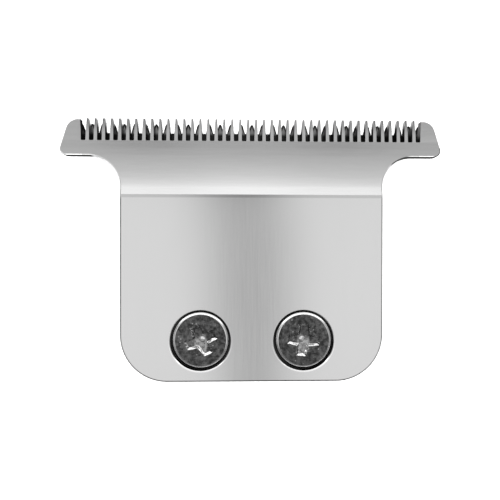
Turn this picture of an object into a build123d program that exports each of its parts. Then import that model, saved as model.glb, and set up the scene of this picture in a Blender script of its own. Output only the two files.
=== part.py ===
import os
from math import atan2, ceil, cos, radians, sin, tan

from build123d import *

os.makedirs("parts", exist_ok=True)

# Millimetres and degrees. The origin lies midway between the two screws on the
# seat, the back of the spring's base; +Y points to the tooth tips, +Z out of the front.

# Plate of the fixed blade
plate_thickness = 1.6
body_width = 27.4
screw_to_tail = 4.3
tail_corner_radius = 4.9
edge_break = 0.12

# Screw holes through the plate
screw_spacing = 10.75
screw_hole_diameter = 3.5
counterbore_diameter = 6.35
counterbore_depth = 0.9
counterbore_break = 0.06

# Head of the fixed blade with its two end guards
screw_to_tips = 23.2
head_depth = 3.9
guard_setback = 0.1
guard_top_width = 1.19
guard_lean = 17.2
guard_toe_radius = 0.7
guard_crown_radius = 1.35
neck_radius = 3.4

# Hollow grind on the front, from the rolled edge of the flat to the land of the teeth
grind_length = 8.3
crease_radius = 7.8
crease_roll = 2.2
land_thickness = 0.9

# Teeth of the fixed blade, bevelled in front and rounded behind the tips, and their gaps
tooth_pitch = 0.84
tooth_bevel = 3.5
nose_length = 0.5
nose_rise = 0.35
gap_count = 43
gap_depth = 2.33
gap_root_width = 0.49
gap_waist_width = 0.51
gap_waist_depth = 1.1
gap_mouth_width = 0.66
gap_root_break = 0.07

# Moving blade, a cutter that slides sideways on the back of the fixed blade
running_gap = 0.02
cutter_stroke = 1.0
cutter_thickness = 1.0
cutter_setback = 0.4
cutter_pitch_ratio = 1.345
cutter_end_margin = 0.45
cutter_tooth_depth = 0.98
cutter_tooth_base = 0.78
cutter_tooth_shoulder = 0.37
cutter_tooth_tip = 0.16
cutter_tooth_nose = 0.2
cutter_tip_thickness = 0.35
cutter_bar_depth = 3.1
cutter_bevel_length = 2.8
cutter_shoulder_radius = 2.5
cutter_stem_length = 10.0
cutter_stem_margin = 0.6
cutter_corner_radius = 1.2
relief_depth = 0.15
relief_length = 5.2
heel_land = 3.4

# Tension spring, one bent strip clamped under the screws
spring_thickness = 0.4
spring_base_length = 8.2
spring_tail_inset = 0.7
spring_corner_radius = 1.5
spring_hole_diameter = 3.4
arm_width = 3.0
arm_side_gap = 0.9
arm_slope = 25
arm_run = 3.4
arm_toe = 1.3
bend_radius = 0.8
foot_inset = 2.0
foot_gap = 0.03
groove_depth = 0.25

# Drive fork, moulded block on the moving blade for the eccentric pin
fork_width = 7.0
fork_length = 6.0
fork_inset = 0.8
fork_base = 1.1
fork_corner_radius = 0.8
fork_slot_width = 3.2
fork_web = 1.2
fork_slot_lead = 0.4
fork_end_break = 0.3
stud_diameter = 1.6
stud_gap = 0.02
stud_spacing = 3.6
stud_recess = 0.1

# Screws, with a plain neck through the plate and the spring
screw_diameter = 3.0
screw_neck_diameter = 2.6
screw_length = 6.0
screw_tip_chamfer = 0.4
screw_head_diameter = 5.92
screw_head_height = 1.0
screw_rim_break = 0.28
recess_span = 3.2
recess_wing = 0.92
recess_depth = 1.0
recess_floor_span = 1.6
recess_floor_wing = 0.4
left_screw_turn = 20
right_screw_turn = -6

# Places that follow from the sizes above
tip_y = screw_to_tips
guard_tip_y = tip_y - guard_setback
root_y = tip_y - gap_depth
underside_y = tip_y - head_depth
crease_y = tip_y - grind_length
tail_y = -screw_to_tail
grind_angle = 2 * atan2(plate_thickness - land_thickness, root_y - crease_y)
row_half = (gap_count - 1) / 2 * tooth_pitch
crown_x = row_half + gap_mouth_width / 2 + guard_top_width
toe_x = crown_x + (head_depth - guard_setback) * tan(radians(guard_lean))
back_z = spring_thickness
front_z = back_z + plate_thickness
land_z = back_z + land_thickness
nose_y = tip_y - nose_length
head_seat_z = front_z - counterbore_depth
cutter_front_z = back_z - running_gap
cutter_back_z = cutter_front_z - cutter_thickness
cutter_tip_y = tip_y - cutter_setback
cutter_root_y = cutter_tip_y - cutter_tooth_depth
cutter_bar_y = cutter_tip_y - cutter_bar_depth
cutter_heel_y = cutter_bar_y - cutter_stem_length
cutter_pitch = tooth_pitch * cutter_pitch_ratio
cutter_side_teeth = ceil(row_half / cutter_pitch)
cutter_bar_half = cutter_side_teeth * cutter_pitch + cutter_end_margin
arm_spacing = fork_width + arm_width + 2 * (cutter_stroke + arm_side_gap)
cutter_stem_width = arm_spacing + arm_width + 2 * (cutter_stroke + cutter_stem_margin)
spring_tail_y = tail_y + spring_tail_inset
spring_front_y = spring_tail_y + spring_base_length
foot_y = cutter_heel_y + foot_inset
arm_rise = tan(radians(arm_slope))
bend_crown = 1 / cos(radians(arm_slope)) - 1
groove_z = cutter_back_z + groove_depth
groove_radius = bend_radius + spring_thickness / 2 + foot_gap
groove_reach = groove_radius + 2 * groove_depth / arm_rise
groove_apex_z = groove_z + groove_radius * bend_crown
foot_z = groove_z - foot_gap - spring_thickness / 2 + bend_radius * bend_crown
fork_y = cutter_heel_y + fork_inset + fork_length / 2
fork_height = cutter_back_z - (head_seat_z - screw_length)

# Fixed blade: T-shaped comb with a hollow-ground front
with BuildPart() as fixed_blade:
    with BuildSketch(Plane.XY.offset(back_z)) as outline:
        with BuildLine():
            FilletPolyline(
                (0, tail_y),
                (body_width / 2, tail_y),
                (body_width / 2, underside_y),
                (toe_x, underside_y),
                (crown_x, guard_tip_y),
                (row_half, guard_tip_y),
                (row_half, tip_y),
                (0, tip_y),
                radius=[tail_corner_radius, neck_radius, guard_toe_radius, guard_crown_radius, 0, 0],
            )
            mirror(about=Plane.YZ)
        make_face()
    extrude(amount=plate_thickness)
    with BuildSketch(Plane.YZ) as hollow:
        with BuildLine():
            crease = JernArc((crease_y, front_z), (1, 0), crease_radius, -crease_roll)
            grind_start = (cos(grind_angle), -sin(grind_angle))
            grind = TangentArc(crease @ 1, (root_y, land_z), tangent=grind_start)
            Polyline(
                grind @ 1,
                (tip_y + gap_depth, land_z),
                (tip_y + gap_depth, front_z + plate_thickness),
                (crease_y, front_z + plate_thickness),
                crease @ 0,
            )
        make_face()
    extrude(amount=2 * toe_x, both=True, mode=Mode.SUBTRACT)
    front_rim = fixed_blade.edges().filter_by(Axis.Z, reverse=True)
    front_rim = front_rim.filter_by(lambda e: e.center().Z > back_z + land_thickness / 2)
    front_rim = front_rim.filter_by(
        lambda e: abs(e.center().X) > edge_break or e.center().Y < crease_y / 2
    )
    chamfer(front_rim, edge_break)
    with BuildSketch(Plane.YZ) as tooth_faces:
        Polygon(
            (root_y, land_z),
            (tip_y + gap_depth, land_z - 2 * gap_depth * tan(radians(tooth_bevel))),
            (tip_y + gap_depth, front_z),
            (root_y, front_z),
            align=None,
        )
        with BuildLine():
            nose = TangentArc((nose_y, back_z), (tip_y, back_z + nose_rise), tangent=(1, 0))
            Polyline(
                nose @ 1,
                (tip_y + gap_depth, back_z + nose_rise),
                (tip_y + gap_depth, back_z),
                nose @ 0,
            )
        make_face()
    extrude(amount=row_half, both=True, mode=Mode.SUBTRACT)
    with BuildSketch(Plane.XY.offset(back_z)) as gaps:
        with Locations((0, root_y)):
            with GridLocations(tooth_pitch, 0, gap_count, 1):
                Polygon(
                    (gap_root_break - gap_root_width / 2, 0),
                    (gap_root_width / 2 - gap_root_break, 0),
                    (gap_root_width / 2, gap_root_break),
                    (gap_waist_width / 2, gap_waist_depth),
                    (gap_mouth_width / 2, gap_depth),
                    (gap_mouth_width / 2, 2 * gap_depth),
                    (-gap_mouth_width / 2, 2 * gap_depth),
                    (-gap_mouth_width / 2, gap_depth),
                    (-gap_waist_width / 2, gap_waist_depth),
                    (-gap_root_width / 2, gap_root_break),
                    align=None,
                )
    extrude(amount=plate_thickness, mode=Mode.SUBTRACT)
    with Locations((0, 0, front_z)):
        with GridLocations(screw_spacing, 0, 2, 1):
            CounterBoreHole(screw_hole_diameter / 2, counterbore_diameter / 2, counterbore_depth)
    bore_rims = fixed_blade.edges().filter_by(GeomType.CIRCLE).filter_by_position(Axis.Z, front_z, front_z)
    chamfer(bore_rims.filter_by(lambda e: e.is_closed), counterbore_break)
fixed_blade.part.label = "fixed_blade"
export_step(fixed_blade.part, "parts/fixed_blade.step")

# Moving blade: toothed bar on a stem, hollow between its two running lands
with BuildPart() as moving_blade:
    with BuildSketch(Plane.XY.offset(cutter_front_z)) as blank:
        with BuildLine():
            FilletPolyline(
                (0, cutter_heel_y),
                (cutter_stem_width / 2, cutter_heel_y),
                (cutter_stem_width / 2, cutter_bar_y),
                (cutter_bar_half, cutter_bar_y),
                (cutter_bar_half, cutter_root_y),
                (0, cutter_root_y),
                radius=[cutter_corner_radius, cutter_shoulder_radius, cutter_corner_radius, 0],
            )
            mirror(about=Plane.YZ)
        make_face()
        with Locations((0, cutter_root_y)):
            with GridLocations(cutter_pitch, 0, 2 * cutter_side_teeth + 1, 1):
                Polygon(
                    (-cutter_tooth_base / 2, 0),
                    (cutter_tooth_base / 2, 0),
                    (cutter_tooth_shoulder / 2, cutter_tooth_depth - cutter_tooth_nose),
                    (cutter_tooth_tip / 2, cutter_tooth_depth),
                    (-cutter_tooth_tip / 2, cutter_tooth_depth),
                    (-cutter_tooth_shoulder / 2, cutter_tooth_depth - cutter_tooth_nose),
                    align=None,
                )
    extrude(amount=-cutter_thickness)
    with BuildSketch(Plane.YZ) as back_bevel:
        Polygon(
            (cutter_tip_y - cutter_bevel_length, cutter_back_z),
            (cutter_tip_y, cutter_front_z - cutter_tip_thickness),
            (cutter_tip_y + cutter_thickness, cutter_front_z - cutter_tip_thickness),
            (cutter_tip_y + cutter_thickness, cutter_back_z - cutter_thickness),
            (cutter_tip_y - cutter_bevel_length, cutter_back_z - cutter_thickness),
            align=None,
        )
    extrude(amount=2 * cutter_bar_half, both=True, mode=Mode.SUBTRACT)
    with BuildSketch(Plane.YZ) as groove:
        with BuildLine():
            FilletPolyline(
                (foot_y - groove_reach, groove_apex_z - groove_reach * arm_rise),
                (foot_y, groove_apex_z),
                (foot_y + groove_reach, groove_apex_z - groove_reach * arm_rise),
                radius=groove_radius,
            )
            Line(
                (foot_y + groove_reach, groove_apex_z - groove_reach * arm_rise),
                (foot_y - groove_reach, groove_apex_z - groove_reach * arm_rise),
            )
        make_face()
    extrude(amount=cutter_stem_width, both=True, mode=Mode.SUBTRACT)
    with BuildSketch(Plane.XY.offset(cutter_front_z)) as relief:
        with Locations((0, cutter_heel_y + heel_land + relief_length / 2)):
            Rectangle(2 * cutter_stem_width, relief_length)
    extrude(amount=-relief_depth, mode=Mode.SUBTRACT)
    with Locations((0, fork_y, cutter_front_z)):
        with GridLocations(stud_spacing, 0, 2, 1):
            Hole(stud_diameter / 2 + stud_gap)
moving_blade.part.label = "moving_blade"
export_step(moving_blade.part, "parts/moving_blade.step")

# Tension spring: base under the screws and two arms with feet in the cutter's groove
with BuildPart() as tension_spring:
    with BuildSketch(Plane.XY.offset(back_z)) as base:
        with Locations((0, (spring_tail_y + spring_front_y) / 2)):
            RectangleRounded(arm_spacing + arm_width, spring_base_length, spring_corner_radius)
        with Locations((0, spring_front_y - spring_corner_radius / 2)):
            with GridLocations(arm_spacing, 0, 2, 1):
                Rectangle(arm_width, spring_corner_radius)
        with GridLocations(screw_spacing, 0, 2, 1):
            Circle(spring_hole_diameter / 2, mode=Mode.SUBTRACT)
    extrude(amount=-spring_thickness)
    with BuildSketch(Plane.YZ.offset((arm_spacing - arm_width) / 2)) as arm:
        with BuildLine():
            FilletPolyline(
                (spring_front_y - spring_corner_radius / 2, spring_thickness / 2),
                (spring_front_y + bend_radius / 2, spring_thickness / 2),
                (foot_y - arm_run, foot_z - arm_run * arm_rise),
                (foot_y, foot_z),
                (foot_y + arm_toe, foot_z - arm_toe * arm_rise),
                radius=bend_radius,
            )
        trace(line_width=spring_thickness)
    extrude(amount=arm_width)
    mirror(about=Plane.YZ)
tension_spring.part.label = "tension_spring"
export_step(tension_spring.part, "parts/tension_spring.step")

# Drive fork: block with a slot open to the rear, held by two studs
with BuildPart() as drive_fork:
    with BuildSketch(Plane.XY.offset(cutter_back_z)):
        with Locations((0, fork_y)):
            RectangleRounded(fork_width, fork_length, fork_corner_radius)
    extrude(amount=-fork_height)
    with BuildSketch(Plane.XY.offset(cutter_back_z - fork_base)):
        with Locations((0, fork_y - fork_web)):
            Rectangle(fork_slot_width, fork_length)
    extrude(amount=-fork_height, mode=Mode.SUBTRACT)
    slot_mouth = drive_fork.edges().filter_by(Axis.Z).group_by(Axis.Y)[0]
    chamfer(slot_mouth.group_by(lambda e: abs(e.center().X))[0], fork_slot_lead)
    chamfer(drive_fork.faces().sort_by(Axis.Z)[0].outer_wire().edges(), fork_end_break)
    with Locations((0, fork_y, cutter_back_z)):
        with GridLocations(stud_spacing, 0, 2, 1):
            Cylinder(
                stud_diameter / 2,
                cutter_thickness - relief_depth - stud_recess,
                align=(Align.CENTER, Align.CENTER, Align.MIN),
            )
drive_fork.part.label = "drive_fork"
export_step(drive_fork.part, "parts/drive_fork.step")

# One screw with its head seated on z = 0, then the pair in its holes
with BuildPart() as screw:
    with BuildSketch(Plane.XZ) as profile:
        with BuildLine():
            Polyline(
                (0, screw_head_height),
                (screw_head_diameter / 2 - screw_rim_break, screw_head_height),
                (screw_head_diameter / 2, screw_head_height - screw_rim_break),
                (screw_head_diameter / 2, 0),
                (screw_neck_diameter / 2, 0),
                (screw_neck_diameter / 2, -head_seat_z),
                (screw_diameter / 2, -head_seat_z),
                (screw_diameter / 2, screw_tip_chamfer - screw_length),
                (screw_diameter / 2 - screw_tip_chamfer, -screw_length),
                (0, -screw_length),
                close=True,
            )
        make_face()
    revolve(axis=Axis.Z)
    with BuildSketch(Plane.XY.offset(screw_head_height)) as recess_mouth:
        Rectangle(recess_span, recess_wing)
        Rectangle(recess_wing, recess_span)
    with BuildSketch(Plane.XY.offset(screw_head_height - recess_depth)) as recess_floor:
        Rectangle(recess_floor_span, recess_floor_wing)
        Rectangle(recess_floor_wing, recess_floor_span)
    loft(ruled=True, mode=Mode.SUBTRACT)

with BuildPart() as blade_screws:
    with Locations(
        Location((-screw_spacing / 2, 0, head_seat_z), (0, 0, left_screw_turn)),
        Location((screw_spacing / 2, 0, head_seat_z), (0, 0, right_screw_turn)),
    ):
        add(screw.part)
blade_screws.part.label = "blade_screws"
export_step(blade_screws.part, "parts/blade_screws.step")
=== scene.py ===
import math

import bpy
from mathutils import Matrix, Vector, noise


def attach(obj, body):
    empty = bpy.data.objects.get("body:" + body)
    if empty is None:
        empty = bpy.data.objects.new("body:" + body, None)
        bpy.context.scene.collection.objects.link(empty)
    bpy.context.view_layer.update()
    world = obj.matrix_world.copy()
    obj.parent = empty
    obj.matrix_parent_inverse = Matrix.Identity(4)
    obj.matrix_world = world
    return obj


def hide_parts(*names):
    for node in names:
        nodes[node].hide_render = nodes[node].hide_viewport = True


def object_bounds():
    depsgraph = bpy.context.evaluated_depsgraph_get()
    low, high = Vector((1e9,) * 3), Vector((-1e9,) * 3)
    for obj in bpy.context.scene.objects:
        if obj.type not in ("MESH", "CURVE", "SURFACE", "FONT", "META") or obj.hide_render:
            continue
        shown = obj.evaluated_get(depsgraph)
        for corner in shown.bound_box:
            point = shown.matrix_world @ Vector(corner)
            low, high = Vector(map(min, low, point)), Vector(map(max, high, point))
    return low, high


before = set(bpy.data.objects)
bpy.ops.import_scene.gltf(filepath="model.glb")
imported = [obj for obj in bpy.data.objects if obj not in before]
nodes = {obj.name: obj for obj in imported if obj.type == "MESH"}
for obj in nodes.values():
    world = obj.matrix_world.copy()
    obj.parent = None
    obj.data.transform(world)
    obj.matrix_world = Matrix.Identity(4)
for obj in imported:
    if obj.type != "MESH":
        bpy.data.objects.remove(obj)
cadLow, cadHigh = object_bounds()
scene = bpy.context.scene
mm = 0.001


class Wire:
    # one socket in a node tree; a sum or product of wires adds its Math nodes
    def __init__(self, tree, socket=None):
        self.tree = tree
        self.socket = socket

    def node(self, kind, settings, sockets, output=0):
        made = self.tree.nodes.new(kind)
        for name, value in settings.items():
            setattr(made, name, value)
        for key, value in sockets.items():
            if isinstance(value, Wire):
                self.tree.links.new(value.socket, made.inputs[key])
            else:
                made.inputs[key].default_value = value
        return Wire(self.tree, made.outputs[output]) if made.outputs else None

    def maths(self, operation, first, second=0.0):
        return self.node("ShaderNodeMath", {"operation": operation}, {0: first, 1: second})

    def most(self, other):
        return self.maths("MAXIMUM", self, other)

    def least(self, other):
        return self.maths("MINIMUM", self, other)

    def __add__(self, other):
        return self.maths("ADD", self, other)

    def __radd__(self, other):
        return self.maths("ADD", other, self)

    def __sub__(self, other):
        return self.maths("SUBTRACT", self, other)

    def __rsub__(self, other):
        return self.maths("SUBTRACT", other, self)

    def __mul__(self, other):
        return self.maths("MULTIPLY", self, other)

    def __rmul__(self, other):
        return self.maths("MULTIPLY", other, self)

    def __pow__(self, other):
        return self.maths("POWER", self, other)

    def __abs__(self):
        return self.maths("ABSOLUTE", self)


def rise(wire, low, high):  # 0 at low, 1 at high, eased at both ends
    ends = {"Value": wire, "From Min": low, "From Max": high}
    return wire.node("ShaderNodeMapRange", {"interpolation_type": "SMOOTHSTEP"}, ends)


def span(wire, ends, unit=mm):  # rises from the first place to the second
    return rise(wire, ends[0] * unit, ends[1] * unit)


def within(wire, ends, unit=mm):  # rises over the first two places and falls over the last two
    return span(wire, ends[:2], unit) * span(wire, (ends[3], ends[2]), unit)


def fade(first, second, share):
    return first + (second - first) * share


def reach(aside, ahead):
    return (aside * aside + ahead * ahead) ** 0.5


def blendColour(share, first, second):
    colours = {0: share, 6: first, 7: second}  # 6 and 7 are the node's colour sockets, 2 its colour output
    return share.node("ShaderNodeMix", {"data_type": "RGBA"}, colours, 2)


def axesOf(wire):
    return [wire.node("ShaderNodeSeparateXYZ", {}, {0: wire}, axis) for axis in "XYZ"]


def grain(place, stretch, detail=2.0, roughness=0.5):  # stretch is in cycles per metre along each axis
    drawn = place.node("ShaderNodeVectorMath", {"operation": "MULTIPLY"}, {0: place, 1: stretch})
    look = {"Vector": drawn, "Scale": 1.0, "Detail": detail, "Roughness": roughness}
    return drawn.node("ShaderNodeTexNoise", {}, look)


def swing(wire, share):  # a noise about its middle, times a share
    return (wire - 0.5) * share


def specks(place, size, spread):  # round spots of about that size, 1 in their middle
    drawn = place.node("ShaderNodeTexVoronoi", {}, {"Vector": place, "Scale": 1 / (size * mm)}, "Distance")
    return 1 - rise(drawn, spread * 0.5, spread)


def relief(height, look):
    bump = {"Strength": look["bump"], "Distance": look["bumpDepth"] * mm, "Height": height}
    return height.node("ShaderNodeBump", {}, bump)


def grey(value):
    return (value, value, value, 1)


def startMaterial(name):
    material = bpy.data.materials.new(name)
    material.use_nodes = True
    material.node_tree.nodes.clear()
    graph = Wire(material.node_tree)
    return material, graph, graph.node("ShaderNodeTexCoord", {}, {}, "Object")


def normalAxes(graph):
    return axesOf(graph.node("ShaderNodeNewGeometry", {}, {}, "True Normal"))


def finishMaterial(graph, sockets):
    shader = graph.node("ShaderNodeBsdfPrincipled", {}, sockets)
    graph.node("ShaderNodeOutputMaterial", {}, {"Surface": shader})


def dress(piece, material):
    piece.data.materials.clear()
    piece.data.materials.append(material)


# Steel of the comb: plate brushed along Y, hollow ground across, cut walls painted dark as shade, tooth tips
# painted darker as shade
# Places are in millimetres, and a mask grows from its first place to its second
bladeLook = {
    "flatGrey": 0.72,
    "wallShadeGrey": 0.05,
    "edgeHighlightGrey": 0.95,
    "wallFacing": (0.62, 0.45),
    "flatFacing": (0.8, 0.93),
    "breakFacing": (0.86, 0.78),
    "brushed": (9000, 260, 260),
    "ground": (420, 9000, 260),
    "cloud": (300, 120, 300),
    "grainShare": 0.035,
    "cloudShare": 0.021,
    "bump": 0.05,
    "bumpDepth": 0.01,
    "flatRoughness": 0.13,
    "breakRoughness": 0.12,
    "wallRoughness": 0.3,
    "grainRoughness": 0.08,
    "creaseY": 14.9,
    "hollowFrom": (-0.15, 0.15),
    "creaseLine": (-0.1, 0.0, 0.2, 0.32),
    "creaseShade": 0.15,
    "bodyHalf": 13.7,
    "tailY": -4.3,
    "tailRadius": 4.9,
    "outline": (0.2, 0.15),
    "outlineShade": 0.36,
    "edgeShade": 0.66,
    "boreSpacing": 10.75,
    "boreRadius": 3.175,
    "boreClear": (0.15, 0.3),
    "boreEdge": (-0.02, 0.02, 0.1, 0.2),
    "boreLower": (0.6, -1.6),
    "boreHighlightGrey": 0.97,
    "boreWall": (0.02, -0.02),
    "boreTop": (1.94, 1.89),
    "boreShadeGrey": 0.03,
    "rowEnd": (17.8, 17.7),
    "tipShadeSpan": (21.4, 23.2),
    "tipSide": (4, 17),
    "tipShade": (0.33, 0.58),
    "tipMatt": (21.9, 22.9),
    "tipWallLightGrey": 0.5,
    "guardWall": (17.5, 17.7, 18.4, 18.6),
    "guardMatt": (21.0, 21.8),
    "guardShare": 0.6,
    "neckWall": (-17.0, -16.6, -13.3, -13.0),
    "neckRise": (15.0, 15.6, 19.6, 20.0),
    "neckWallLightGrey": 0.85,
    "mattShare": 0.9,
}

# Painted shade along the lower edge of each ear, wider on the right and around its toe
earShadeLook = {
    "neckCentre": (17.1, 15.9),
    "neckRadius": 3.4,
    "toeCentre": (19.39, 20.0),
    "toeRadius": 0.7,
    "soft": (0.015, -0.015),
    "leftWidth": 0.035,
    "leftEar": (-16.4, -16.9),
    "rightWidth": 0.055,
    "rightEar": (14.2, 15.0),
    "toeWidth": 0.16,
    "rightToe": (19.2, 19.6),
}


def fromCorner(aside, ahead, radius):  # how far in from an outline with a round corner
    return radius * mm - reach(aside.most(0.0), ahead.most(0.0))


def earShade(x, y, look):
    across = abs(x)
    neckX, neckY = [centre * mm for centre in look["neckCentre"]]
    toeX, toeY = [centre * mm for centre in look["toeCentre"]]
    fromNeck = reach((across - neckX).least(0.0), y - neckY) - look["neckRadius"] * mm
    inward = fromNeck.least(fromCorner(across - toeX, toeY - y, look["toeRadius"]))
    rightWidth = fade(look["rightWidth"] * mm, look["toeWidth"] * mm, span(x, look["rightToe"]))
    right = span(inward - rightWidth, look["soft"]) * span(x, look["rightEar"])
    left = span(inward - look["leftWidth"] * mm, look["soft"]) * span(x, look["leftEar"])
    return right + left


def makeBladeSteel(look, earShading):
    material, graph, place = startMaterial("bladeSteel")
    x, y, z = axesOf(place)
    across = abs(x)
    facing = abs(normalAxes(graph)[2])
    wall = rise(facing, *look["wallFacing"])
    flat = rise(facing, *look["flatFacing"])
    broken = rise(facing, *look["breakFacing"])
    inRow = span(across, look["rowEnd"])
    fromCrease = y - look["creaseY"] * mm
    fromBore = reach(across - look["boreSpacing"] / 2 * mm, y) - look["boreRadius"] * mm
    bodyX = across - (look["bodyHalf"] - look["tailRadius"]) * mm
    bodyY = (look["tailY"] + look["tailRadius"]) * mm - y
    fromBody = fromCorner(bodyX, bodyY, look["tailRadius"])
    hollow = span(fromCrease, look["hollowFrom"])
    # brushed and ground grain, then painted shade and painted highlights along the edges
    lines = fade(grain(place, look["brushed"]), grain(place, look["ground"]), hollow)
    cloud = grain(place, look["cloud"], detail=3.0)
    tone = look["flatGrey"] + swing(lines, look["grainShare"]) + swing(cloud, look["cloudShare"])
    # painted shade on the tooth tips, deeper towards the ends of the row
    tipShade = fade(look["tipShade"][0], look["tipShade"][1], span(across, look["tipSide"]))
    tone = tone * (1 - tipShade * inRow * span(y, look["tipShadeSpan"]))
    # painted shade on the body's chamfers, clear of the bores
    tone = tone * (1 - look["edgeShade"] * broken * (1 - hollow) * span(fromBore, look["boreClear"]))
    # painted shade in a band just inside the body's outline
    tone = tone * (1 - look["outlineShade"] * span(fromBody, look["outline"]) * (1 - broken) * (1 - hollow))
    # painted shade along the crease line
    tone = tone * (1 - look["creaseShade"] * within(fromCrease, look["creaseLine"]))
    # painted highlight on the chamfers above the crease, away from the teeth
    tone = fade(tone, look["edgeHighlightGrey"], broken * hollow * (1 - inRow))
    # painted shade: cut walls nearly black, and a dark line under each ear
    tone = fade(tone, look["wallShadeGrey"], wall.most(broken * earShade(x, y, earShading)))
    # painted highlight on the lower side of each bore's edge
    boreEdgeHighlight = within(fromBore, look["boreEdge"]) * span(y, look["boreLower"]) * (1 - wall)
    tone = fade(tone, look["boreHighlightGrey"], boreEdgeHighlight)
    # painted shade: the counterbores' walls and floors nearly black
    boreShade = span(fromBore, look["boreWall"]) * span(z, look["boreTop"])
    tone = fade(tone, look["boreShadeGrey"], boreShade)
    colour = tone.node("ShaderNodeCombineColor", {}, {"Red": tone, "Green": tone, "Blue": tone})
    # painted light: the walls of the tips, of the right guard and of the left neck are made matt and
    # lighter, so they look lit
    guard = look["guardShare"] * within(x, look["guardWall"]) * span(y, look["guardMatt"])
    neck = within(x, look["neckWall"]) * within(y, look["neckRise"])
    paintedLightWalls = wall * (inRow * span(y, look["tipMatt"]) + guard + neck).least(1.0)
    colour = blendColour(paintedLightWalls, colour, blendColour(neck, grey(look["tipWallLightGrey"]), grey(look["neckWallLightGrey"])))
    rough = fade(look["breakRoughness"], look["flatRoughness"], flat) + swing(lines, look["grainRoughness"])
    finishMaterial(graph, {
        "Base Color": colour,
        "Metallic": 1 - look["mattShare"] * paintedLightWalls,
        "Roughness": fade(rough, look["wallRoughness"], wall),
        "Normal": relief(lines, look),
    })
    return material


dress(nodes["fixed_blade"], makeBladeSteel(bladeLook, earShadeLook))
print("comb: brushed steel on fixed_blade")

# Hardened cutter, with painted shade: nearly black where it lies in shadow under the comb, with the ground
# middle of each tooth's front lighter
cutterLook = {
    "darkGrey": 0.03,
    "lightGrey": 0.3,
    "brightGrey": 0.32,
    "backShare": 0.6,
    "backGrain": 0.6,
    "frontFacing": (0.8, 0.95),
    "backFacing": (-0.5, -0.8),
    "pitch": 0.84 * 1.345,
    "tipY": 22.8,
    "toothDepth": 0.98,
    "toothHalf": 0.4,
    "bareEdge": (0.04, 0.16),
    "bareRoot": (0.5, 0.34),
    "ground": (900, 7000, 700),
    "cloud": (700, 500, 700),
    "bump": 0.1,
    "bumpDepth": 0.01,
    "roughness": 0.16,
    "cloudRoughness": 0.1,
}


def makeCutterSteel(look):
    material, graph, place = startMaterial("cutterSteel")
    x, y = axesOf(place)[:2]
    facing = normalAxes(graph)[2]
    lines = grain(place, look["ground"])
    cloud = grain(place, look["cloud"], detail=4.0)
    aside = x.maths("PINGPONG", x, look["pitch"] / 2 * mm)  # from the middle of the nearest tooth
    room = (look["tipY"] * mm - y) * (look["toothHalf"] / look["toothDepth"])
    front = rise(facing, *look["frontFacing"])
    brightened = front * span(room - aside, look["bareEdge"]) * span(room, look["bareRoot"])
    share = look["backShare"] + swing(lines, look["backGrain"]) + swing(cloud, look["backGrain"])
    share = rise(facing, *look["backFacing"]) * share
    skin = blendColour(share, grey(look["darkGrey"]), grey(look["lightGrey"]))
    finishMaterial(graph, {
        "Base Color": blendColour(brightened, skin, grey(look["brightGrey"])),
        "Metallic": 1.0,
        "Roughness": look["roughness"] + swing(cloud, look["cloudRoughness"]),
        "Normal": relief(lines, look),
    })
    return material


dress(nodes["moving_blade"], makeCutterSteel(cutterLook))
print("cutter: dark ground steel on moving_blade")

# Spring strip, rolled lengthwise and clouded by tempering
springLook = {
    "darkGrey": 0.36,
    "lightGrey": 0.55,
    "share": 0.5,
    "rolled": (5000, 220, 220),
    "rolledShare": 0.8,
    "cloud": (350, 350, 350),
    "cloudShare": 0.9,
    "bump": 0.08,
    "bumpDepth": 0.01,
    "roughness": 0.26,
    "cloudRoughness": 0.16,
}


def makeSpringSteel(look):
    material, graph, place = startMaterial("springSteel")
    lines = grain(place, look["rolled"], detail=3.0)
    cloud = grain(place, look["cloud"], detail=4.0)
    share = look["share"] + swing(lines, look["rolledShare"]) + swing(cloud, look["cloudShare"])
    finishMaterial(graph, {
        "Base Color": blendColour(share, grey(look["darkGrey"]), grey(look["lightGrey"])),
        "Metallic": 1.0,
        "Roughness": look["roughness"] + swing(cloud, look["cloudRoughness"]),
        "Normal": relief(lines, look),
    })
    return material


dress(nodes["tension_spring"], makeSpringSteel(springLook))
print("spring: rolled strip on tension_spring")

# Moulded fork, matt black with a spark-eroded skin
forkLook = {
    "darkGrey": 0.018,
    "lightGrey": 0.04,
    "cloud": (500, 500, 500),
    "skinSize": 0.09,
    "bump": 0.35,
    "bumpDepth": 0.02,
    "roughness": 0.52,
    "skinRoughness": 0.2,
}


def makeForkPlastic(look):
    material, graph, place = startMaterial("forkPlastic")
    skin = grain(place, (1 / (look["skinSize"] * mm),) * 3, detail=3.0, roughness=0.6)
    cloud = grain(place, look["cloud"], detail=3.0)
    finishMaterial(graph, {
        "Base Color": blendColour(cloud, grey(look["darkGrey"]), grey(look["lightGrey"])),
        "Roughness": look["roughness"] + swing(skin, look["skinRoughness"]),
        "Normal": relief(skin, look),
    })
    return material


dress(nodes["drive_fork"], makeForkPlastic(forkLook))
print("fork: matt plastic on drive_fork")

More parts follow.
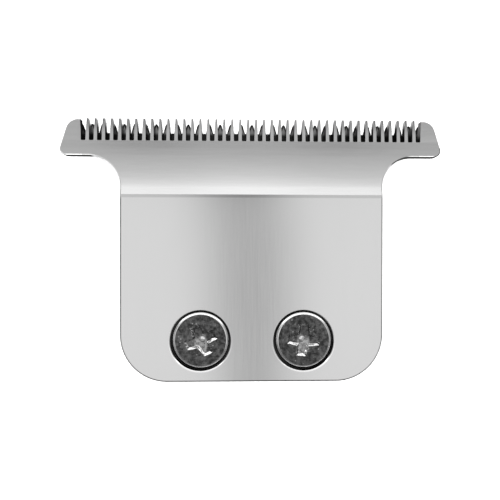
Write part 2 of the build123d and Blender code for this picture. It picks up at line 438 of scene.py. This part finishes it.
# Two pan-head screws with worn cross recesses and rolled threads, in millimetres from the seat of the head
screwLook = {
    "spacing": 10.75,
    "shift": (0.02, 0.05),
    "seat": 1.1,
    "segments": 160,
    "sharpAngle": 32,
    "headRadius": 2.96,
    "headHeight": 1.0,
    "faceRings": 80,
    "faceDrop": 0.03,
    "dome": 0.015,
    "pitting": 0.005,
    "pittingScale": 3.0,
    "pittingFractal": (0.8, 2.0, 4),
    "seed": 3.7,
    "rim": 0.3,
    "rimRings": 10,
    "rimTilt": (14, 60),
    "rimEdge": 0.08,
    "footEdge": 0.06,
    "turns": (22, -4),
    "bends": (0.17, -0.14),
    "bendFrom": 0.35,
    "span": 3.3,
    "wing": 1.38,
    "taper": 0.13,
    "lip": 0.19,
    "lipSlope": 0.66,
    "floorSlope": 0.2,
    "burrHeight": 0.012,
    "burrWidth": 0.04,
    "chew": (0.05, 0.03),
    "chewScale": (2.6, 7.0),
    "chewSeed": (0.0, 5.0),
    "mounds": ((0.14, 0.1), (-0.2, 0.1)),
    "mound": 0.17,
    "moundRadius": 0.27,
    "neckRadius": 1.3,
    "neckEdge": 0.08,
    "neckEnd": 0.1,
    "threadRadius": 1.5,
    "threadDepth": 0.3,
    "threadRings": 118,
    "runIn": 8,
    "pitch": 0.5,
    "crestHalf": 0.0625,
    "flank": 0.3125,
    "length": 6.0,
    "tipChamfer": 0.4,
}


def recessDepth(u, v, look, seed):  # how far the worn cross goes down at a point of the head's top
    half = look["span"] / 2
    along = min(half - abs(u), look["wing"] / 2 - look["taper"] * abs(u) - abs(v))
    across = min(half - abs(v), look["wing"] / 2 - look["taper"] * abs(v) - abs(u))
    inside = max(along, across)
    for size, scale, offset in zip(look["chew"], look["chewScale"], look["chewSeed"]):
        inside += size * noise.noise(Vector((u * scale, v * scale, seed + offset)))
    if inside <= 0:
        return -look["burrHeight"] * math.exp(inside / look["burrWidth"])  # burr thrown up beside the recess
    share = min(1.0, inside / look["lip"])
    floor = look["floorSlope"] * max(0.0, half - look["lip"] - math.hypot(u, v))
    return look["lipSlope"] * look["lip"] * share + floor * share


def headTop(x, y, side, look):
    seed = look["seed"] + side
    turn = math.radians(look["turns"][side])
    u = x * math.cos(turn) + y * math.sin(turn)
    v = y * math.cos(turn) - x * math.sin(turn)
    u -= look["bends"][side] * max(0.0, -v - look["bendFrom"])  # the lower wing is worn aside
    z = look["headHeight"] - look["faceDrop"]
    z -= look["dome"] * (math.hypot(x, y) / (look["headRadius"] - look["rim"])) ** 2
    scale = look["pittingScale"]
    z += look["pitting"] * noise.fractal(Vector((x * scale, y * scale, seed)), *look["pittingFractal"])
    away = math.hypot(x - look["mounds"][side][0], y - look["mounds"][side][1])
    z += look["mound"] * math.exp(-((away / look["moundRadius"]) ** 2))  # metal the driver has pushed up
    return z - recessDepth(u, v, look, seed)


def headProfile(look):  # radius and height, from the rolled rim down to the end of the neck
    r = look["headRadius"] - look["rim"]
    z = look["headHeight"] - look["faceDrop"] - look["dome"]
    low, high = look["rimTilt"]
    width = look["rim"] / look["rimRings"]
    profile = []
    for step in range(look["rimRings"]):
        tilt = low + (high - low) * (step + 0.5) / look["rimRings"]
        r += width
        z -= width * math.tan(math.radians(tilt))
        profile.append((r, z))
    return profile + [
        (look["headRadius"], z - look["rimEdge"]),
        (look["headRadius"], look["footEdge"]),
        (look["headRadius"] - look["footEdge"], 0.0),
        (look["neckRadius"] + look["neckEdge"], 0.0),
        (look["neckRadius"], -look["neckEdge"]),
        (look["neckRadius"], -look["seat"] + look["neckEnd"]),
    ]


def threadRadius(z, angle, row, look):
    turnShare = (z / look["pitch"] - angle / (2 * math.pi)) % 1.0
    flank = max(0.0, min(1.0, (abs(turnShare - 0.5) - look["crestHalf"]) / look["flank"]))
    r = look["threadRadius"] - look["threadDepth"] * flank
    r = look["neckRadius"] + (r - look["neckRadius"]) * min(1.0, row / look["runIn"])
    return min(r, look["threadRadius"] - look["tipChamfer"] + (z + look["length"]))


def screwRings(side, look):  # rings of points from the head's top down to the tip
    count = look["segments"]
    angles = [2 * math.pi * k / count for k in range(count)]
    flatRadius = look["headRadius"] - look["rim"]
    rings = []
    for step in range(1, look["faceRings"] + 1):
        r = flatRadius * step / look["faceRings"]
        spots = [(r * math.cos(a), r * math.sin(a)) for a in angles]
        rings.append([(x, y, headTop(x, y, side, look)) for x, y in spots])
    for r, z in headProfile(look):
        rings.append([(r * math.cos(a), r * math.sin(a), z) for a in angles])
    for row in range(look["threadRings"] + 1):
        z = -look["seat"] - (look["length"] - look["seat"]) * row / look["threadRings"]
        radii = [threadRadius(z, a, row, look) for a in angles]
        rings.append([(r * math.cos(a), r * math.sin(a), z) for r, a in zip(radii, angles)])
    return rings


def addObject(name, data):
    piece = bpy.data.objects.new(name, data)
    scene.collection.objects.link(piece)
    return piece


def makeScrews(look):
    points, faces = [], []
    count = look["segments"]
    for side in (0, 1):
        middle = Vector(((side - 0.5) * look["spacing"] + look["shift"][0], look["shift"][1], look["seat"]))
        rings = screwRings(side, look)
        top = len(points)
        points.append((middle + Vector((0, 0, headTop(0, 0, side, look)))) * mm)
        for ring in rings:
            points.extend((middle + Vector(p)) * mm for p in ring)
        for k in range(count):
            faces.append((top, top + 1 + k, top + 1 + (k + 1) % count))
        for level in range(len(rings) - 1):
            upper = top + 1 + level * count
            lower = upper + count
            for k in range(count):
                nextK = (k + 1) % count
                faces.append((upper + k, lower + k, lower + nextK, upper + nextK))
        foot = len(points)
        points.append((middle - Vector((0, 0, look["length"]))) * mm)
        last = foot - count
        for k in range(count):
            faces.append((foot, last + (k + 1) % count, last + k))
    mesh = bpy.data.meshes.new("panHeadScrews")
    mesh.from_pydata(points, [], faces)
    mesh.shade_smooth()
    mesh.set_sharp_from_angle(angle=math.radians(look["sharpAngle"]))
    return addObject("panHeadScrews", mesh)


# Dark nickel on the screws, mottled, with bare flecks, painted highlights on the rims and the lips of the
# recess, and a lighter floor in the recess
platingLook = {
    "spacing": 10.75,
    "shift": (0.02, 0.05),
    "darkGrey": 0.035,
    "lightGrey": 0.17,
    "wingFloorGrey": 0.5,
    "brightGrey": 0.95,
    "mottle": (2600, 2600, 2600),
    "cloud": (900, 900, 900),
    "mottleShare": 0.7,
    "cloudShare": 0.3,
    "lightFrom": (0.36, 0.66),
    "inner": (1.9, 1.3),
    "fleckSize": 0.3,
    "fleckSpread": 0.2,
    "fleckFrom": (0.5, 0.62),
    "innerFleckSize": 0.17,
    "innerFleckSpread": 0.24,
    "innerFleckFrom": (0.52, 0.6),
    "fleckShare": 0.7,
    "sunk": (1.98, 1.93),
    "wing": (0.75, 0.45),
    "upperShare": 0.3,
    "lower": (0.3, -0.2),
    "wingFloorFrom": (0.25, 0.6),
    "spot": (-0.17, 0.12),
    "spotEdge": (0.34, 0.17),
    "spotFrom": (0.25, 0.42),
    "head": (1.7, 1.75),
    "rim": (2.63, 2.69),
    "rimShare": 0.4,
    "rimForward": (-0.3, 0.2),
    "lipFacing": (0.95, 0.88),
    "lipForward": (0.1, 0.3),
    "roughness": 0.22,
    "mottleRoughness": 0.2,
    "bump": 0.25,
    "bumpDepth": 0.03,
}


def makeScrewPlating(look):
    material, graph, place = startMaterial("screwPlating")
    x, y, z = axesOf(place)
    aside = abs(x - look["shift"][0] * mm) - look["spacing"] / 2 * mm
    ahead = y - look["shift"][1] * mm
    radius = reach(aside, ahead)
    forward, facing = normalAxes(graph)[1:]
    mottle = grain(place, look["mottle"], detail=4.0, roughness=0.65)
    cloud = grain(place, look["cloud"])
    share = rise(mottle * look["mottleShare"] + cloud * look["cloudShare"], *look["lightFrom"])
    plated = blendColour(share, grey(look["darkGrey"]), grey(look["lightGrey"]))
    # lighter floor of the upright wing, most of it in the lower half
    inner = span(radius, look["inner"])
    lower = fade(look["upperShare"], 1.0, span(ahead, look["lower"]))
    wingFloor = span(z, look["sunk"]) * inner * span(abs(aside), look["wing"]) * lower
    plated = blendColour(wingFloor * rise(mottle, *look["wingFloorFrom"]), plated, grey(look["wingFloorGrey"]))
    # bare metal flecks and the pushed-up middle, with painted highlights on the rim, brightest on its
    # forward side, and on the forward-facing lips of the recess
    flecks = specks(place, look["fleckSize"], look["fleckSpread"]) * rise(mottle, *look["fleckFrom"])
    innerFlecks = inner * specks(place, look["innerFleckSize"], look["innerFleckSpread"])
    flecks = flecks + innerFlecks * rise(mottle, *look["innerFleckFrom"])
    fromSpot = reach(aside - look["spot"][0] * mm, ahead - look["spot"][1] * mm)
    spot = span(fromSpot, look["spotEdge"]) * rise(mottle, *look["spotFrom"])
    rim = span(radius, look["rim"])
    rimHighlight = rim * fade(look["rimShare"], 1.0, rise(forward, *look["rimForward"]))
    lipHighlights = rise(facing, *look["lipFacing"]) * rise(forward, *look["lipForward"]) * (1 - rim)
    brightened = (look["fleckShare"] * flecks).most(lipHighlights + rimHighlight).most(spot) * span(z, look["head"])
    finishMaterial(graph, {
        "Base Color": blendColour(brightened, plated, grey(look["brightGrey"])),
        "Metallic": 1.0,
        "Roughness": look["roughness"] + swing(mottle, look["mottleRoughness"]),
        "Normal": relief(mottle, look),
    })
    return material


screws = makeScrews(screwLook)
dress(screws, makeScrewPlating(platingLook))
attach(screws, "comb")
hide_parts("blade_screws")
print("screws:", len(screws.data.polygons), "faces with threads and recesses")

# Pale table under the part, on the level of the screw tips
floorLook = {"half": 400, "paleGrey": 0.8, "softGrey": 0.78, "roughness": 0.9, "fibre": (300, 300, 300)}


def makeFloor(look):
    half = look["half"] * mm
    z = cadLow.z
    corners = [(-half, -half, z), (half, -half, z), (half, half, z), (-half, half, z)]
    mesh = bpy.data.meshes.new("tableTop")
    mesh.from_pydata(corners, [], [(0, 1, 2, 3)])
    piece = addObject("tableTop", mesh)
    material, graph, place = startMaterial("tablePaper")
    fibre = grain(place, look["fibre"], detail=3.0)
    colour = blendColour(fibre, grey(look["softGrey"]), grey(look["paleGrey"]))
    finishMaterial(graph, {"Base Color": colour, "Roughness": look["roughness"], "Specular IOR Level": 0.0})
    dress(piece, material)
    piece.visible_glossy = False  # polished steel shows the dim room under it, not the lit paper
    return piece


makeFloor(floorLook)

# Soft studio, by the direction looked in: a shaded band overhead, which the flat plate shows
overheadLook = {
    "grey": 0.93,
    "bandGrey": 0.54,
    "bandX": 0.03,
    "leanBack": 0.13,
    "leanFront": 0.02,
    "inner": 0.008,
    "outerBack": 0.14,
    "outerFront": 0.1,
    "narrowY": (-0.12, -0.24),
    "dip": 0.22,
    "dipY": (0.09, 0.125),
}


def overheadLight(x, y, look):
    lean = look["leanBack"] * y.most(0.0) + look["leanFront"] * y.least(0.0)
    outer = fade(look["outerBack"], look["outerFront"], rise(y, *look["narrowY"]))
    clear = rise(abs(x - (look["bandX"] - lean)), look["inner"], outer)
    return fade(look["bandGrey"], look["grey"], clear) - look["dip"] * (1 - clear) * rise(y, *look["dipY"])


# A wall behind the teeth, brighter as it climbs, which the hollow shows
wallLook = {
    "startY": 0.21,
    "low": 0.44,
    "slope": 1.4,
    "bendY": 0.4,
    "curve": 24,
    "most": 2.6,
    "far": 1.0,
    "farY": (0.58, 0.7),
    "middle": 0.06,
    "middleX": 0.02,
    "middleHalf": (0.14, 0.03),
    "middleY": (0.33, 0.4),
    "flank": 0.2,
    "flankX": 0.015,
    "flankHalf": (0.06, 0.15, 0.2, 0.3),
    "flankY": (0.31, 0.24),
    "left": 0.1,
    "leftX": (-0.21, -0.3),
    "right": 0.03,
    "rightX": (0.24, 0.33),
    "side": 0.08,
    "sideHalf": (0.1, 0.24),
    "sideY": (0.45, 0.5),
}


def wallLight(x, y, look):
    climb = (y - look["bendY"]).most(0.0)
    wall = look["low"] + look["slope"] * (y - look["startY"]).most(0.0) + look["curve"] * climb * climb
    wall = fade(wall.least(look["most"]), look["far"], rise(y, *look["farY"]))
    middle = rise(abs(x - look["middleX"]), *look["middleHalf"]) * rise(y, *look["middleY"])
    flank = within(abs(x - look["flankX"]), look["flankHalf"], 1) * rise(y, *look["flankY"])
    outer = look["left"] * rise(x, *look["leftX"]) + look["right"] * rise(x, *look["rightX"])
    side = rise(abs(x), *look["sideHalf"]) * rise(y, *look["sideY"])
    wall = wall * (1 + look["middle"] * middle - look["flank"] * flank + outer)
    return wall * (1 + look["side"] * side)


# The rest of the room: dim sides and front, the table's own tone below, a strip light and a glow at the left
roomLook = {
    "wallY": (0.14, 0.2),
    "side": 0.25,
    "sideHalf": (0.6, 0.85),
    "sideY": (0.5, 0.3),
    "front": 0.3,
    "frontY": (-0.28, -0.42),
    "tableSide": 0.75,
    "tableFront": 0.14,
    "tableFrontY": (-0.6, -0.93),
    "tableBack": 0.6,
    "tableBackY": (0.1, 0.4),
    "tableDeep": 0.05,
    "deepZ": (0.0, -0.9),
    "horizonZ": (0.02, -0.02),
    "strip": 1.4,
    "stripRight": 0.42,
    "stripLeft": 0.2,
    "stripFront": 0.91,
    "stripFrom": (0.62, 0.78),
    "stripTilt": 0.3,
    "stripLevel": (0.08, 0.13),
    "stripTopZ": (0.3, 0.24),
    "stripCutZ": (0.12, 0.2),
    "stripCutY": (-0.85, -0.75),
    "glow": 0.85,
    "glowX": (-0.42, -0.55),
    "glowY": (0.15, 0.0),
    "glowZ": (-0.2, -0.15, 0.19, 0.22),
    "backdrop": 0.95,
}


def stripLight(x, y, z, look):
    sideways = look["stripRight"] * x.most(0.0) + look["stripLeft"] * x.least(0.0)
    level = z + look["stripTilt"] * x.most(0.0)
    strip = rise(sideways - look["stripFront"] * y, *look["stripFrom"])
    strip = strip * rise(level, *look["stripLevel"]) * rise(z, *look["stripTopZ"])
    return strip * (1 - rise(z, *look["stripCutZ"]) * rise(y, *look["stripCutY"]))


def makeStudio(look, overhead, wall):
    world = bpy.data.worlds.new("studio")
    world.use_nodes = True
    world.node_tree.nodes.clear()
    scene.world = world
    graph = Wire(world.node_tree)
    x, y, z = axesOf(graph.node("ShaderNodeTexCoord", {}, {}, "Generated"))
    upper = fade(overheadLight(x, y, overhead), wallLight(x, y, wall), rise(y, *look["wallY"]))
    upper = fade(upper, look["side"], rise(abs(x), *look["sideHalf"]) * rise(y, *look["sideY"]))
    upper = fade(upper, look["front"], rise(y, *look["frontY"]))
    table = fade(look["tableSide"], look["tableFront"], rise(y, *look["tableFrontY"]))
    table = fade(table, look["tableBack"], rise(y, *look["tableBackY"]))
    lower = fade(table, look["tableDeep"], rise(z, *look["deepZ"]))
    room = fade(upper, lower, rise(z, *look["horizonZ"]))
    glow = rise(x, *look["glowX"]) * rise(y, *look["glowY"]) * within(z, look["glowZ"], 1)
    room = fade(room, look["glow"], glow) + look["strip"] * stripLight(x, y, z, look)
    seen = graph.node("ShaderNodeLightPath", {}, {}, "Is Camera Ray")
    shown = fade(room, look["backdrop"], seen)
    sky = graph.node("ShaderNodeBackground", {}, {"Color": grey(1.0), "Strength": shown})
    graph.node("ShaderNodeOutputWorld", {}, {"Surface": sky})


makeStudio(roomLook, overheadLook, wallLook)

# Wide lamp for the paper, left out of what the steel reflects
lampLook = {"watts": 5.5, "size": 500, "place": (0, 10, 450)}


def makeLamp(look):
    light = bpy.data.lights.new("paperLamp", "AREA")
    light.energy = look["watts"]
    light.size = look["size"] * mm
    lamp = addObject("paperLamp", light)
    lamp.location = Vector(look["place"]) * mm
    lamp.visible_glossy = False
    lamp.visible_camera = False


makeLamp(lampLook)
print("studio: room, lamp and table ready")

# Camera close above the part, as the photograph was taken
cameraLook = {
    "place": (-1.786, 9.737, 55.0),
    "turn": (-0.00593, -0.02933, 0.00137),
    "lens": 36.7,
    "sensor": 36.0,
    "clip": (1, 10000),
}


def makeCamera(look):
    lens = bpy.data.cameras.new("closeCamera")
    lens.lens = look["lens"]
    lens.sensor_width = look["sensor"]
    lens.clip_start = look["clip"][0] * mm
    lens.clip_end = look["clip"][1] * mm
    camera = addObject("closeCamera", lens)
    camera.location = Vector(look["place"]) * mm
    camera.rotation_euler = look["turn"]
    scene.camera = camera


makeCamera(cameraLook)
scene.view_settings.view_transform = "Standard"
